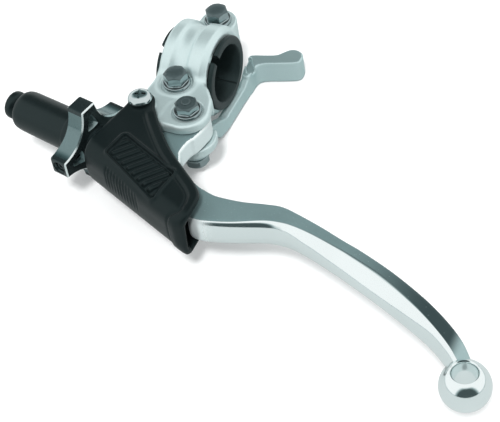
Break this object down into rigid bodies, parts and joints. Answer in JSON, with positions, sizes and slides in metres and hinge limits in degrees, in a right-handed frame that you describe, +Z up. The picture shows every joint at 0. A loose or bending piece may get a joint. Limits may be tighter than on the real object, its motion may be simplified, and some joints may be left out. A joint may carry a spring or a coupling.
{
  "type": "clutch lever assembly",
  "caption": "Forged handlebar clutch lever on a split bar clamp with composite bushing, lobed quick adjuster, cable boot, dust cover and thumb lever.",
  "frame": {"origin": "on the handlebar axis, at the middle of the clamp", "axes": "+X along the bar towards the grip, +Y towards the rider, +Z up, parallel to the lever pivot and the clamp bolts"},
  "size_m": [0.2138, 0.1521, 0.0396],
  "materials": {
    "cast_aluminium": "satin blasted",
    "lever_aluminium": "polished front, blasted top",
    "thumb_lever_aluminium": "fine blasted",
    "zinc_steel": "plated",
    "chromed_steel": "bright",
    "black_rubber": "matte moulded",
    "black_anodised": "gloss anodised with cut edges",
    "black_composite": "moulded",
    "bronze": "turned"
  },
  "bodies": {
    "perch": {"perch_body": "cast_aluminium", "clamp_half_lower": "cast_aluminium", "clamp_bolt_front": "zinc_steel", "clamp_bolt_rear": "zinc_steel", "pivot_bolt": "zinc_steel", "pivot_nut": "zinc_steel", "hot_start_washer": "zinc_steel", "wave_washer": "zinc_steel", "thrust_washer": "zinc_steel", "barrel_key_pin": "zinc_steel", "dust_cover": "black_rubber", "cover_screw": "chromed_steel"},
    "lever": {"clutch_lever": "lever_aluminium", "pivot_sleeve": "bronze"},
    "wheel": {"star_wheel": "black_anodised", "detent_screw": "zinc_steel", "detent_spring": "zinc_steel", "detent_ball": "chromed_steel"},
    "barrel": {"adjuster_barrel": "black_anodised", "housing_ferrule": "zinc_steel", "adjuster_boot": "black_rubber"},
    "thumb_lever": {"hot_start_lever": "thumb_lever_aluminium", "hot_start_bushing": "bronze"},
    "bushing": {"bar_bushing": "black_composite"}
  },
  "joints": [
    {"name": "lever_pivot", "type": "hinge", "parent": "perch", "child": "lever", "pos_m": [0.0103, -0.0311, 0], "axis": [0, 0, 1], "range_deg": [0, 24]},
    {"name": "star_wheel_turn", "type": "hinge", "parent": "perch", "child": "wheel", "pos_m": [-0.02413, -0.04772, 0], "axis": [0.9748, -0.2233, 0], "range_deg": [0, 1728]},
    {"name": "adjuster_travel", "type": "slide", "parent": "perch", "child": "barrel", "axis": [-0.9748, 0.2233, 0], "range_m": [0, 0.00601]},
    {"name": "thumb_lever_pivot", "type": "hinge", "parent": "perch", "child": "thumb_lever", "pos_m": [0.0103, -0.0311, -0.0118], "axis": [0, 0, 1], "range_deg": [-25, 0]},
    {"name": "bushing_turn", "type": "hinge", "parent": "perch", "child": "bushing", "pos_m": [0, 0, 0], "axis": [1, 0, 0], "range_deg": [-30, 30]}
  ],
  "couplings": [
    {"joint": "adjuster_travel", "follows": "star_wheel_turn", "m_per_rad": 0.00019894}
  ]
}
